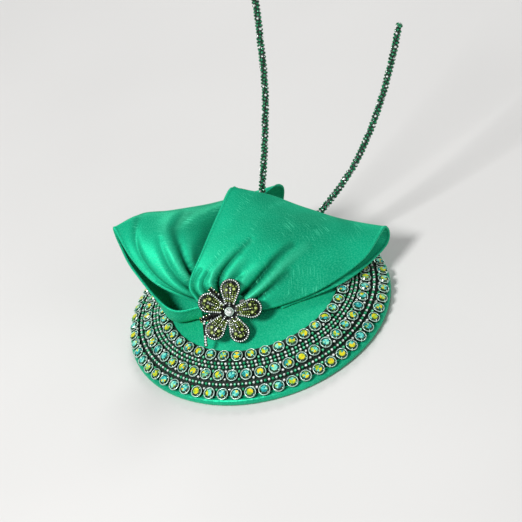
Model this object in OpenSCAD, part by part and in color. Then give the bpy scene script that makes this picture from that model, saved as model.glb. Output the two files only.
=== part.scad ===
// Saucer cocktail hat: a shallow covered disc with a crystal band, a folded satin bow,
// a flower brooch and two rhinestone quills. Origin: centre of the plane the rim rests on.

/* [Disc] */
// Outer radius of the bound rim
rim_r = 100; // [98:0.5:102]
// Height of the dome's crown above the plane the rim rests on
crown_h = 31; // [29:0.5:33]
// Radius of the sphere that the covered dome follows
dome_r = 197.7; // [190:0.1:210]
// Thickness of the satin-felt top cover
cover_t = 1.0; // [0.6:0.1:1.4]
// Thickness of the stiffened base shell
base_t = 2.0; // [1.5:0.1:2.5]
// Thickness of the lining cloth
lining_t = 0.8; // [0.5:0.1:1]

/* [Edge] */
// Radial width of the bound edge
edge_w = 3.95; // [3.5:0.05:4.5]
// Radius of the rounded edge binding
edge_round = 3.0; // [2.6:0.1:3.2]
// Diameter of the millinery wire inside the binding
edge_wire_d = 1.6; // [1:0.1:2]

/* [Crystal band] */
// Foot radius of each ring of large crystals, inner to outer
ring_r = [68.3, 82.2, 94.5];
// Number of large crystals in each ring, inner to outer
ring_n = [42, 50, 58];
// Diameter of a large crystal
crystal_d = 8.0; // [7:0.1:8.2]
// Outer diameter of a crystal's metal cup
cup_d = 8.6; // [8.4:0.1:9]
// Height of a crystal's metal cup
cup_h = 2.3; // [2:0.1:3]
// Diameter of a small rhinestone in its setting
small_d = 2.5; // [2.2:0.1:2.5]
// Distance between small rhinestones along their rows
small_pitch = 2.75; // [2.7:0.05:3.4]
// Thickness of the mesh that backs the band
mesh_t = 0.6; // [0.4:0.1:0.8]

/* [Bow] */
// Thickness of the folded and backed bow cloth
cloth_t = 1.6; // [1.2:0.1:2]
// Width of the tab that the brooch is pinned to
tab_w = 8; // [6:0.5:9]

/* [Quills] */
// Diameter of a quill over its rhinestone banding
quill_d = 5.6; // [5:0.1:6]
// Diameter of a quill's core wire
quill_wire_d = 2.0; // [1.6:0.1:2.4]

/* [Brooch] */
// Reach of a petal from the middle of the flower
petal_reach = 24; // [22:0.5:25]
// Tilt of the brooch from lying flat
brooch_tilt = 48; // [44:1:52]
// Diameter of the brooch's pin stem
stem_d = 1.1; // [0.9:0.05:1.2]

/* [Comb] */
// Length of the comb's spine
comb_l = 70; // [60:1:74]
// Number of teeth on the comb
comb_teeth = 20; // [18:2:22]
// Length of a tooth
tooth_l = 32; // [26:1:34]

/* [Hidden] */
$fn = 64;
gap = 0.05;

// Bow strips: rows run along the strip from the knot over the fold and back to the knot,
// columns run across it from selvage to selvage
right_net = [
    [[-41, -28, 50], [-31, -28, 51], [-20, -28, 49], [ -9, -31, 45], [ -4, -37, 33]],
    [[-43, -18, 60], [-29, -20, 62], [ -8, -21, 57], [  9, -29, 47], [ 15, -38, 31]],
    [[-27,  -5, 75], [ -6,  -7, 74], [ 18, -10, 67], [ 36, -17, 52], [ 48, -32, 29]],
    [[ -8,  14, 88], [ 15,  12, 80], [ 40,   8, 68], [ 66,   1, 50], [ 84, -12, 27]],
    [[  7,  31, 95], [ 31,  29, 80], [ 56,  23, 61], [ 83,  17, 43], [108,  11, 31]],
    [[ 11,  27, 86], [ 34,  25, 70], [ 57,  19, 52], [ 82,  13, 33], [104,   7, 17]],
    [[  0,  12, 62], [ 14,   8, 52], [ 32,  -1, 42], [ 52, -10, 32], [ 66, -26, 24]],
    [[-22, -12, 36], [-15, -15, 36], [ -8, -18, 35], [  4, -25, 33], [ 16, -38, 28]]
];
left_net = [
    [[-38,-26,46], [-38,-22,49], [-37,-17,50], [-35,-12,50], [-31, -6,50], [-26,  0,47]],
    [[-52,-19,53], [-49,-17,58], [-44,-12,62], [-37, -4,63], [-29,  2,61], [-18, 10,56]],
    [[-68, -4,62], [-60, -2,71], [-48,  2,77], [-34,  9,75], [-18, 18,69], [  0, 27,60]],
    [[-78, 12,77], [-66, 15,85], [-49, 18,86], [-31, 22,82], [-10, 31,76], [ 16, 42,66]],
    [[-83, 25,97], [-62, 33,95], [-40, 38,86], [-16, 42,79], [ 10, 46,74], [ 42, 54,67]],
    [[-83, 22,83], [-64, 38,84], [-42, 46,76], [-16, 52,67], [ 11, 56,61], [ 44, 60,52]],
    [[-79, 11,64], [-68, 30,56], [-48, 38,54], [-24, 44,48], [  0, 47,43], [ 30, 50,36]],
    [[-62,-16,43], [-65, -5,27], [-56, 18,33], [-38, 27,37], [-20, 30,38], [  4, 34,36]],
    [[-39,-25,43], [-41,-20,28], [-40, -4,33], [-34,  2,36], [-27,  6,38], [-16, 12,38]]
];
// Middle lines of the quills, from the anchor to just under the tip
left_quill = [[10,10,35], [15,17,43], [21,28,58], [29,42,76], [41,49,110],
              [53,54,152], [60,58,190], [65,61,224], [65,62,262]];
right_quill = [[18,8,35], [32,15,36], [48,24,41], [66,31,49], [86,34,64],
               [102,37,79], [119,41,100], [135,46,124], [148,51,147], [158,56,166]];

// ---- curves and sheets ----
function unit(v) = v / norm(v);
function through(a, b, c, d, f) =
    b + 0.5 * f * ((c - a) + f * ((2*a - 5*b + 4*c - d) + f * (3 * (b - c) + d - a)));
function spline(p, t) =
    let (n = len(p) - 1, x = min(max(t, 0), 1) * n, i = min(floor(x), n - 1))
    through(i > 0 ? p[i-1] : 2*p[0] - p[1], p[i], p[i+1],
            i + 2 <= n ? p[i+2] : 2*p[n] - p[n-1], x - i);
function sheet_point(net, u, v) = spline([for (row = net) spline(row, u)], v);
function sheet_side(net, u, v, off) =
    let (e = 0.01,
         du = sheet_point(net, min(u + e, 1), v) - sheet_point(net, max(u - e, 0), v),
         dv = sheet_point(net, u, min(v + e, 1)) - sheet_point(net, u, max(v - e, 0)))
    sheet_point(net, u, v) + off * unit(cross(du, dv));

// A closed sheet of even thickness over a net of points
module sheet(net, t, nu, nv) {
    row = nu + 1;
    half = row * (nv + 1);
    pts = [for (s = [1, -1]) for (j = [0:nv]) for (i = [0:nu])
        sheet_side(net, i / nu, j / nv, s * t / 2)];
    faces = concat(
        [for (j = [0:nv-1]) for (i = [0:nu-1]) let (a = j*row + i)
            each [[a, a+row, a+row+1], [a, a+row+1, a+1]]],
        [for (j = [0:nv-1]) for (i = [0:nu-1]) let (a = half + j*row + i)
            each [[a, a+row+1, a+row], [a, a+1, a+row+1]]],
        [for (i = [0:nu-1]) let (a = i, b = nv*row + i)
            each [[a, a+1, a+1+half], [a, a+1+half, a+half],
                  [b, b+half, b+1+half], [b, b+1+half, b+1]]],
        [for (j = [0:nv-1]) let (a = j*row, b = j*row + nu)
            each [[a, a+half, a+row+half], [a, a+row+half, a+row],
                  [b, b+row, b+row+half], [b, b+row+half, b+half]]]);
    polyhedron(pts, faces, convexity = 8);
}

// Rings of points round a line, and the closed tube or sleeve through them
sides = 8;
function tangent(path, t) = unit(spline(path, min(t + 0.01, 1)) - spline(path, max(t - 0.01, 0)));
function ring_point(path, t, r, k) =
    let (d = tangent(path, t), s = unit(cross(d, [0, 1, 0])), w = cross(s, d))
    spline(path, t) + r * (cos(k * 360 / sides) * s + sin(k * 360 / sides) * w);

module tube(path, r, rings) {
    pts = [for (j = [0:rings]) for (k = [0:sides-1]) ring_point(path, j / rings, r, k)];
    faces = concat(
        [[for (k = [0:sides-1]) k]],
        [[for (k = [sides-1:-1:0]) rings*sides + k]],
        [for (j = [0:rings-1]) for (k = [0:sides-1])
            let (a = j*sides + k, b = j*sides + (k+1) % sides)
            each [[a, a+sides, b+sides], [a, b+sides, b]]]);
    polyhedron(pts, faces, convexity = 4);
}

module sleeve(path, r_in, r_out, rings) {
    half = sides * (rings + 1);
    pts = [for (r = [r_out, r_in]) for (j = [0:rings]) for (k = [0:sides-1])
        ring_point(path, j / rings, r, k)];
    faces = concat(
        [for (j = [0:rings-1]) for (k = [0:sides-1])
            let (a = j*sides + k, b = j*sides + (k+1) % sides)
            each [[a, a+sides, b+sides], [a, b+sides, b],
                  [a+half, b+sides+half, a+sides+half], [a+half, b+half, b+sides+half]]],
        [for (k = [0:sides-1]) let (a = k, b = (k+1) % sides, e = rings*sides)
            each [[a, b, b+half], [a, b+half, a+half],
                  [a+e, b+e+half, b+e], [a+e, a+e+half, b+e+half]]]);
    polyhedron(pts, faces, convexity = 6);
}

// ---- disc ----
dome_z = crown_h - dome_r;
shell_edge_r = rim_r - edge_w - gap;
function dome_height(r, under) = sqrt(pow(dome_r - under, 2) - r*r) + dome_z;

// A layer of the dome between two depths under its outer surface, cut off at a radius
module dome_layer(top, bottom, edge_r, hole_r = 0) {
    intersection() {
        difference() {
            translate([0, 0, dome_z]) sphere(r = dome_r - top, $fn = 128);
            translate([0, 0, dome_z]) sphere(r = dome_r - bottom, $fn = 128);
        }
        difference() {
            cylinder(r = edge_r, h = crown_h + 2);
            if (hole_r > 0) translate([0, 0, -1]) cylinder(r = hole_r, h = crown_h + 4);
        }
    }
}

module base_shell() {
    color("burlywood")
    dome_layer(cover_t + gap, cover_t + gap + base_t, shell_edge_r);
}

module top_cover() {
    color("mediumseagreen") dome_layer(0, cover_t, shell_edge_r);
}

module lining() {
    under = cover_t + base_t + 2 * gap;
    color("darkgreen") dome_layer(under, under + lining_t, shell_edge_r);
}

edge_mid = [rim_r - edge_round, edge_round - 0.1];
edge_drop = 0.6;

module edge_wire() {
    color("dimgray")
    rotate_extrude($fn = 128) translate(edge_mid + [0.2, -0.2]) circle(d = edge_wire_d, $fn = 32);
}

module edge_binding() {
    color("seagreen")
    rotate_extrude($fn = 128)
    difference() {
        intersection() {
            translate([rim_r - edge_w, 0]) square([edge_w, 2 * edge_round]);
            union() {
                translate(edge_mid) circle(r = edge_round);
                translate(edge_mid - [0, edge_drop]) circle(r = edge_round);
                translate(edge_mid - [0, edge_drop]) square([edge_round, edge_drop]);
            }
        }
        translate(edge_mid + [0.2, -0.2]) circle(d = edge_wire_d + 2 * gap, $fn = 32);
    }
}

// ---- crystal band ----
ring_a0 = [0, 2, 1];
// Small rhinestones: each row's distance from the middle between two rings, and from ring to gap
row_offs = [[-1.32, 1.32], [0]];
gap_off = 2.75;
band_in_r = ring_r[0] - 4.2;
band_out_r = ring_r[2] + 0.9;
cup_floor = 0.5;
girdle = 0.3;
pavilion_h = cup_h - cup_floor - girdle - 0.2;
crown_rise = 1.3;

// Places its children on the dome at a foot radius and an angle, standing off by lift
module on_dome(r, a, lift) {
    rotate([0, 0, a]) translate([0, 0, dome_z]) rotate([0, asin(r / dome_r), 0])
    translate([0, 0, dome_r + lift]) children();
}

module band_mesh() {
    color([0.05, 0.07, 0.06]) dome_layer(-mesh_t - gap, -gap, band_out_r, band_in_r);
}

module cup() {
    difference() {
        cylinder(d = cup_d, h = cup_h);
        translate([0, 0, cup_floor]) cylinder(d = crystal_d + 2 * gap, h = cup_h);
    }
}

module crystal() {
    translate([0, 0, cup_floor + 0.1]) {
        cylinder(d1 = 2.4, d2 = crystal_d, h = pavilion_h);
        translate([0, 0, pavilion_h]) cylinder(d = crystal_d, h = girdle);
        translate([0, 0, pavilion_h + girdle])
            cylinder(d1 = crystal_d, d2 = crystal_d * 0.55, h = crown_rise);
    }
}

module ring_of(k) {
    for (i = [0 : ring_n[k] - 1])
        on_dome(ring_r[k], ring_a0[k] + i * 360 / ring_n[k], mesh_t + 2 * gap) children();
}

module cups_inner() { color("silver") ring_of(0) cup(); }
module cups_middle() { color("silver") ring_of(1) cup(); }
module cups_outer() { color("silver") ring_of(2) cup(); }
module crystals_inner() { color("yellowgreen") ring_of(0) crystal(); }
module crystals_middle() { color("yellowgreen") ring_of(1) crystal(); }
module crystals_outer() { color("yellowgreen") ring_of(2) crystal(); }

// Small rhinestones: rows between one ring and the next, and one in each gap between two cups
function row_places() = [
    for (g = [0, 1]) for (off = row_offs[g])
        let (r = (ring_r[g] + ring_r[g+1]) / 2 + off, n = 2 * floor(PI * r / small_pitch))
        for (i = [0 : n - 1]) [r, (i + (off > 0 ? 0.5 : 0)) * 360 / n, i % 2]
];
function gap_places() = [
    for (g = [0, 1]) for (k = [0, 1])
        let (n = ring_n[g + k])
        for (i = [0 : n - 1])
            [ring_r[g+k] + (1 - 2 * k) * gap_off, ring_a0[g+k] + (i + 0.5) * 360 / n, i % 2]
];
function small_places() = concat(row_places(), gap_places());

module small_stone() {
    cylinder(d = small_d, h = 1.2, $fn = 20);
    translate([0, 0, 1.2]) cylinder(d1 = small_d - 0.3, d2 = 1.3, h = 0.8, $fn = 20);
}

module small_stones(kind) {
    for (p = small_places()) if (p[2] == kind)
        on_dome(p[0], p[1], mesh_t + 2 * gap) small_stone();
}

module small_stones_emerald() { color("darkgreen") small_stones(0); }
module small_stones_clear() { color("whitesmoke") small_stones(1); }

// ---- bow ----
module bow_left_loop() { color("mediumspringgreen") sheet(left_net, cloth_t, 15, 32); }
module bow_right_loop() { color("springgreen") sheet(right_net, cloth_t, 14, 32); }

// ---- quills ----

module quill_wire(path) {
    color("dimgray") tube(path, quill_wire_d / 2, 34);
}
module quill_banding(path) {
    color([0.05, 0.2, 0.12])
    sleeve(path, quill_wire_d / 2 + 0.1, quill_d / 2, 34);
}
// A short cap over the end of the wire, with a domed top
module quill_tip(path) {
    end = spline(path, 1);
    d = tangent(path, 1);
    color([0.05, 0.2, 0.12])
    translate(end + 0.3 * d)
    rotate([0, acos(d[2]), atan2(d[1], d[0])]) {
        cylinder(d = quill_d - 0.4, h = 1.2);
        translate([0, 0, 1.2]) intersection() {
            sphere(d = quill_d - 0.4);
            cylinder(d = quill_d, h = quill_d);
        }
    }
}

module quill_left_wire() { quill_wire(left_quill); }
module quill_left_banding() { quill_banding(left_quill); }
module quill_left_tip() { quill_tip(left_quill); }
module quill_right_wire() { quill_wire(right_quill); }
module quill_right_banding() { quill_banding(right_quill); }
module quill_right_tip() { quill_tip(right_quill); }

// Felt pad on the crown that the two wire ends are sewn into
anchor_foot_r = 16.5;
anchor_a = 33;
anchor_r = 9;
anchor_t = 1.8;
module quill_anchor() {
    color("seagreen") on_dome(anchor_foot_r, anchor_a, gap) cylinder(r = anchor_r, h = anchor_t);
}

// ---- brooch ----
brooch_at = [-21, -40, 42];
petal_a = [70, -9, -81, -146, 139];
petal_tip_r = 7.4;
petal_root_r = 4;
petal_root_at = 6.5;
casting_t = 1.2;

module in_brooch() { translate(brooch_at) rotate([brooch_tilt, 0, 0]) children(); }

// A teardrop: a large circle at the tip, a small one at the root and their tangents
module teardrop(root_at, root_r, tip_at, tip_r) {
    slope = asin((tip_r - root_r) / (tip_at - root_at));
    translate([root_at, 0]) circle(r = root_r);
    translate([tip_at, 0]) circle(r = tip_r);
    polygon([[root_at - root_r * sin(slope), root_r * cos(slope)],
             [root_at - root_r * sin(slope), -root_r * cos(slope)],
             [tip_at - tip_r * sin(slope), -tip_r * cos(slope)],
             [tip_at - tip_r * sin(slope), tip_r * cos(slope)]]);
}

module petal_outline(inset) {
    teardrop(petal_root_at, petal_root_r - min(inset, 1), petal_reach - petal_tip_r,
             petal_tip_r - inset);
}

twig_from = [-19.5, -1.5];
twig_to = [-23.2, -17.5];
twig_w = 2.2;
twig_end_d = 2.8;
// Middle of each leaf and the way it points
leaves = [[-6.5, 16, 112], [-17, 0.5, 178]];
leaf = [[-10.5, -1.4], [-2, -2.8], [2.5, -2], [5.4, 0], [2.5, 2], [-2, 2.8], [-10.5, 1.4]];

// One casting behind the flower: five petal backs, two leaves and a twig
module brooch_casting() {
    color([0.2, 0.2, 0.2])
    in_brooch() linear_extrude(casting_t) {
        circle(r = 7);
        for (a = petal_a) rotate(a) petal_outline(0);
        for (l = leaves) translate([l[0], l[1]]) rotate(l[2]) polygon(leaf);
        translate(twig_from) rotate(atan2(twig_to[1] - twig_from[1], twig_to[0] - twig_from[0])) {
            translate([-twig_w, -twig_w / 2]) square([norm(twig_to - twig_from) + twig_w, twig_w]);
            translate([norm(twig_to - twig_from), 0]) circle(d = twig_end_d);
        }
    }
}

module brooch_petals() {
    color([0.35, 0.4, 0.32])
    in_brooch() for (a = petal_a) rotate(a)
        translate([0, 0, casting_t + gap]) linear_extrude(0.9) petal_outline(1.9);
}

module brooch_petal_rims() {
    color("gainsboro")
    in_brooch() for (a = petal_a) rotate(a)
        translate([0, 0, casting_t + gap]) linear_extrude(1.5) difference() {
            petal_outline(0.2);
            petal_outline(1.85);
            circle(r = 7.4);
        }
}

module petal_stone_row(y, from, to, n, d) {
    for (i = [0 : n - 1])
        translate([from + (to - from) * i / (n - 1), y, 0]) cylinder(d = d, h = 0.8, $fn = 24);
}

module brooch_petal_stones() {
    color("yellowgreen")
    in_brooch() for (a = petal_a) rotate(a) translate([0, 0, casting_t + 0.9 + 2 * gap]) {
        petal_stone_row(0, 9, 20, 5, 2.2);
        for (s = [-1, 1]) petal_stone_row(s * 3, 12.5, 18.5, 3, 1.9);
    }
}

module brooch_centre_stone() {
    color("white")
    in_brooch() translate([0, 0, casting_t + gap]) {
        cylinder(d = 6.2, h = 1.4);
        translate([0, 0, 1.4]) cylinder(d1 = 6, d2 = 3.2, h = 1.3);
    }
}

module brooch_twig_stones() {
    color("gainsboro")
    in_brooch() for (t = [0.06, 0.64, 0.76, 0.88, 1])
        translate([(1-t) * twig_from[0] + t * twig_to[0], (1-t) * twig_from[1] + t * twig_to[1],
                   casting_t + gap])
        cylinder(d = 1.6, h = 0.9, $fn = 24);
}

// ---- pin and catch, behind the brooch ----
pin_y = 3;
pin_w = -4.4;
hinge_x = 11;
catch_x = -11;
eye_d = 2.4;
eye_l = 3;
ear_t = 0.8;
rivet_d = 0.9;

module pin_hinge_bracket() {
    ear_y = eye_l / 2 + 0.08;
    color("gray")
    in_brooch() difference() {
        union() {
            translate([hinge_x - 1.8, pin_y - ear_y - ear_t, -0.9 - gap])
                cube([3.6, 2 * (ear_y + ear_t), 0.9]);
            for (s = [-1, 1]) translate([hinge_x - 1.8, pin_y + s * (ear_y + ear_t / 2) - ear_t / 2,
                                         pin_w]) cube([3.6, ear_t, -pin_w - gap]);
            for (s = [-1, 1]) translate([hinge_x, pin_y + s * (ear_y + ear_t / 2) + ear_t / 2, pin_w])
                rotate([90, 0, 0]) cylinder(r = 1.8, h = ear_t);
        }
        translate([hinge_x, pin_y + 5, pin_w]) rotate([90, 0, 0])
            cylinder(d = rivet_d + 0.04, h = 10);
    }
}

module pin_hinge_rivet() {
    color("silver")
    in_brooch() translate([hinge_x, pin_y, pin_w]) rotate([90, 0, 0]) {
        cylinder(d = rivet_d, h = eye_l + 2 * ear_t + 0.4, center = true);
        for (s = [-1, 1]) translate([0, 0, s * (eye_l / 2 + ear_t + 0.36)])
            cylinder(d = 1.6, h = 0.4, center = true);
    }
}

stem_tip = 2.6;
module pin_stem() {
    reach = hinge_x - catch_x + 1.6;
    color("silver")
    in_brooch() translate([hinge_x, pin_y, pin_w]) difference() {
        union() {
            rotate([90, 0, 0]) cylinder(d = eye_d, h = eye_l, center = true);
            rotate([0, -90, 0]) cylinder(d = stem_d, h = reach - stem_tip);
            translate([-(reach - stem_tip), 0, 0]) rotate([0, -90, 0])
                cylinder(d1 = stem_d, d2 = 0.2, h = stem_tip);
        }
        rotate([90, 0, 0]) cylinder(d = rivet_d + 0.08, h = eye_l + 2, center = true);
    }
}

catch_l = 2.0;
catch_bore_d = 3.8;
catch_d = 5.2;
catch_mouth = 1.6;
flange_t = 0.4;

// Ring open on the side away from the casting, with a foot soldered to it
module catch_housing() {
    color("gray")
    in_brooch() translate([catch_x, pin_y, pin_w]) {
        difference() {
            union() {
                rotate([0, 90, 0]) cylinder(d = catch_d, h = catch_l, center = true);
                translate([-catch_l / 2, -1.6, 0]) cube([catch_l, 3.2, -pin_w - gap]);
            }
            rotate([0, 90, 0]) cylinder(d = catch_bore_d, h = catch_l + 2, center = true);
            translate([-catch_l, -catch_mouth / 2, -catch_d]) cube([2 * catch_l, catch_mouth, catch_d]);
        }
    }
}

// Slotted roller that turns in the housing to shut its mouth
module catch_rotor() {
    hub_l = catch_l + 2 * (flange_t + 0.08);
    color("silver")
    in_brooch() translate([catch_x, pin_y, pin_w]) difference() {
        union() {
            rotate([0, 90, 0]) cylinder(d = catch_bore_d - 0.1, h = hub_l, center = true);
            for (s = [-1, 1]) translate([s * (hub_l - flange_t) / 2, 0, 0]) rotate([0, 90, 0])
                cylinder(d = 4.6, h = flange_t, center = true);
            translate([-hub_l / 2, 1.2, -0.5]) cube([flange_t, 2.3, 1]);
        }
        rotate([0, 90, 0]) cylinder(d = stem_d + 0.4, h = hub_l + 2, center = true);
        translate([-hub_l, -(stem_d + 0.4) / 2, -catch_d]) cube([2 * hub_l, stem_d + 0.4, catch_d]);
    }
}

// Cloth tab from the gathers down to the crown; the pin goes behind it
tab_top = 11.6;
tab_bottom = -20.5;
tab_t = 1.0;
module brooch_tab() {
    color("mediumseagreen")
    in_brooch() translate([-tab_w / 2 + 1, tab_bottom, -3.3])
        cube([tab_w, tab_top - tab_bottom, tab_t]);
}

// ---- comb ----
comb_y = -52;
comb_z = 14;
spine_d = 2.6;
tooth_d = 1.2;
stitch_w = 0.7;
tooth_pitch = (comb_l - 3) / (comb_teeth - 1);
// Stitches pass halfway between two teeth when the number of teeth is even
stitch_x = [for (k = [-8, -3, 3, 8]) k * tooth_pitch];

module hair_comb() {
    color("black")
    translate([0, comb_y, comb_z]) {
        rotate([0, 90, 0]) cylinder(d = spine_d, h = comb_l, center = true);
        for (s = [-1, 1]) translate([s * comb_l / 2, 0, 0]) sphere(d = spine_d);
        for (i = [0 : comb_teeth - 1])
            translate([(i - (comb_teeth - 1) / 2) * tooth_pitch, 0, 0]) rotate([-90, 0, 0]) {
                cylinder(d = tooth_d, h = tooth_l, $fn = 24);
                translate([0, 0, tooth_l]) sphere(d = tooth_d, $fn = 24);
            }
    }
}

// Thread loops round the spine that reach up to the lining
module comb_stitches() {
    color("darkgreen")
    for (x = stitch_x) {
        roof = dome_height(norm([x, comb_y]), cover_t + base_t + lining_t + 2 * gap) - 0.9;
        rise = roof - comb_z;
        loop_r = spine_d / 2 + 0.1 + stitch_w;
        translate([x - stitch_w / 2, comb_y, comb_z]) rotate([90, 0, 90])
        linear_extrude(stitch_w) difference() {
            union() {
                circle(r = loop_r);
                translate([-loop_r, 0]) square([2 * loop_r, rise]);
            }
            circle(r = loop_r - stitch_w);
            translate([stitch_w - loop_r, 0]) square([2 * (loop_r - stitch_w), rise - stitch_w]);
        }
    }
}

base_shell();
top_cover();
lining();
edge_wire();
edge_binding();
band_mesh();
cups_inner();
cups_middle();
cups_outer();
crystals_inner();
crystals_middle();
crystals_outer();
small_stones_emerald();
small_stones_clear();
bow_left_loop();
bow_right_loop();
brooch_tab();
quill_left_wire();
quill_left_banding();
quill_left_tip();
quill_right_wire();
quill_right_banding();
quill_right_tip();
quill_anchor();
brooch_casting();
brooch_petals();
brooch_petal_rims();
brooch_petal_stones();
brooch_centre_stone();
brooch_twig_stones();
pin_hinge_bracket();
pin_hinge_rivet();
pin_stem();
catch_housing();
catch_rotor();
hair_comb();
comb_stitches();
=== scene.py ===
"""Looks of the saucer cocktail hat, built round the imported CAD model.

Frame: x to the right as the viewer faces the hat, y away from the viewer, z up out of the disc.
The origin is the centre of the plane that the rim rests on. Shapes are worked out in millimetres,
the unit of the CAD source, and turned into metres when a mesh is made.
"""

import math

import bmesh
import bpy
import numpy as np
from mathutils import Matrix, Vector


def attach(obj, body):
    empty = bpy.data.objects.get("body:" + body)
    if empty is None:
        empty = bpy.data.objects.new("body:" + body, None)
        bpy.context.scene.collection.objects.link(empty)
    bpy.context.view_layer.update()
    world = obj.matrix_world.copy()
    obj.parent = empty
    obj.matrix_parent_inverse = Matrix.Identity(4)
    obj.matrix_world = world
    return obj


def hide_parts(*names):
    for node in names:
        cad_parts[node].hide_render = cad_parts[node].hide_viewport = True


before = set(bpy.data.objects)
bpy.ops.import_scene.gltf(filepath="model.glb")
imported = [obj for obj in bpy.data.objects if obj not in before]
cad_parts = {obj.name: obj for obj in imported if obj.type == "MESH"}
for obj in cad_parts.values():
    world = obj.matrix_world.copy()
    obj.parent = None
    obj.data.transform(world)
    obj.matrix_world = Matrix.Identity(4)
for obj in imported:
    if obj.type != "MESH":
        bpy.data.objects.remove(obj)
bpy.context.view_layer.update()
rng = np.random.default_rng(7)
MM = 0.001

# Sizes shared with the CAD source
RIM_R = 100.0
CROWN_H = 31.0
DOME_R = 197.7
DOME_Z = CROWN_H - DOME_R
COVER_T = 1.0
BASE_T = 2.0
LINING_T = 0.8
LAYER_R = 95.99
EDGE_IN_R = 96.05
EDGE_ROUND = 3.0
RING_R = (68.3, 82.2, 94.5)
RING_N = (42, 50, 58)
RING_A0 = (0.0, 2.0, 1.0)
CRYSTAL_D = 8.0
CUP_D = 8.6
CUP_H = 2.3
SMALL_D = 2.5
SMALL_PITCH = 2.75
ROW_OFFS = ((-1.32, 1.32), (0.0,))
GAP_OFF = 2.75
ON_MESH = 0.7
QUILL_D = 5.6
BROOCH_AT = (-21.0, -40.0, 42.0)
BROOCH_TILT = math.radians(48)
PETAL_A = (70, -9, -81, -146, 139)
PETAL_ROOT, PETAL_ROOT_R = 6.5, 4.0
PETAL_TIP, PETAL_TIP_R = 16.6, 7.4
LEAVES = ((-6.5, 16.0, 112.0), (-17.0, 0.5, 178.0))
TWIG = ((-19.5, -1.5), (-23.2, -17.5))
TWIG_STONES = (0.06, 0.64, 0.76, 0.88, 1.0)
CASTING_T = 1.2

# The CAD source's nets of the two loops: rows run along the strip, from the knot over the fold
# and back, and each row runs from selvage to selvage
RIGHT_NET = [
    [[-41, -28, 50], [-31, -28, 51], [-20, -28, 49], [-9, -31, 45], [-4, -37, 33]],
    [[-43, -18, 60], [-29, -20, 62], [-8, -21, 57], [9, -29, 47], [15, -38, 31]],
    [[-27, -5, 75], [-6, -7, 74], [18, -10, 67], [36, -17, 52], [48, -32, 29]],
    [[-8, 14, 88], [15, 12, 80], [40, 8, 68], [66, 1, 50], [84, -12, 27]],
    [[7, 31, 95], [31, 29, 80], [56, 23, 61], [83, 17, 43], [108, 11, 31]],
    [[11, 27, 86], [34, 25, 70], [57, 19, 52], [82, 13, 33], [104, 7, 17]],
    [[0, 12, 62], [14, 8, 52], [32, -1, 42], [52, -10, 32], [66, -26, 24]],
    [[-22, -12, 36], [-15, -15, 36], [-8, -18, 35], [4, -25, 33], [16, -38, 28]],
]
LEFT_NET = [
    [[-38, -26, 46], [-38, -22, 49], [-37, -17, 50], [-35, -12, 50], [-31, -6, 50], [-26, 0, 47]],
    [[-52, -19, 53], [-49, -17, 58], [-44, -12, 62], [-37, -4, 63], [-29, 2, 61], [-18, 10, 56]],
    [[-68, -4, 62], [-60, -2, 71], [-48, 2, 77], [-34, 9, 75], [-18, 18, 69], [0, 27, 60]],
    [[-78, 12, 77], [-66, 15, 85], [-49, 18, 86], [-31, 22, 82], [-10, 31, 76], [16, 42, 66]],
    [[-83, 25, 97], [-62, 33, 95], [-40, 38, 86], [-16, 42, 79], [10, 46, 74], [42, 54, 67]],
    [[-83, 22, 83], [-64, 38, 84], [-42, 46, 76], [-16, 52, 67], [11, 56, 61], [44, 60, 52]],
    [[-79, 11, 64], [-68, 30, 56], [-48, 38, 54], [-24, 44, 48], [0, 47, 43], [30, 50, 36]],
    [[-62, -16, 43], [-65, -5, 27], [-56, 18, 33], [-38, 27, 37], [-20, 30, 38], [4, 34, 36]],
    [[-39, -25, 43], [-41, -20, 28], [-40, -4, 33], [-34, 2, 36], [-27, 6, 38], [-16, 12, 38]],
]
LEFT_QUILL = [
    [10, 10, 35], [15, 17, 43], [21, 28, 58], [29, 42, 76], [41, 49, 110],
    [53, 54, 152], [60, 58, 190], [65, 61, 224], [65, 62, 262],
]
RIGHT_QUILL = [
    [18, 8, 35], [32, 15, 36], [48, 24, 41], [66, 31, 49], [86, 34, 64],
    [102, 37, 79], [119, 41, 100], [135, 46, 124], [148, 51, 147], [158, 56, 166],
]


# ---- meshes ----
class Heap:
    """Collects the parts of one piece: points in mm, faces, a material number and a paint each."""

    def __init__(self):
        self.points, self.faces, self.marks, self.paint, self.smooth = [], [], [], [], []
        self.cloth = []
        self.count = 0

    def add(self, points, faces, place=None, mark=0, paint=(0, 0, 0), smooth=False, cloth=None):
        """paint is one triple for all faces or one for each; cloth is a triple for each point."""
        points = np.asarray(points, float)
        if place is not None:
            points = points @ place[:3, :3].T + place[:3, 3]
        self.points.append(points)
        self.cloth.append(np.zeros_like(points) if cloth is None else np.asarray(cloth, float))
        self.faces += [tuple(i + self.count for i in face) for face in faces]
        paint = np.asarray(paint, float)
        if paint.ndim == 1:
            paint = np.repeat(paint[None], len(faces), axis=0)
        self.paint.append(paint)
        self.marks += [mark] * len(faces)
        self.smooth += [smooth] * len(faces)
        self.count += len(points)


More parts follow.
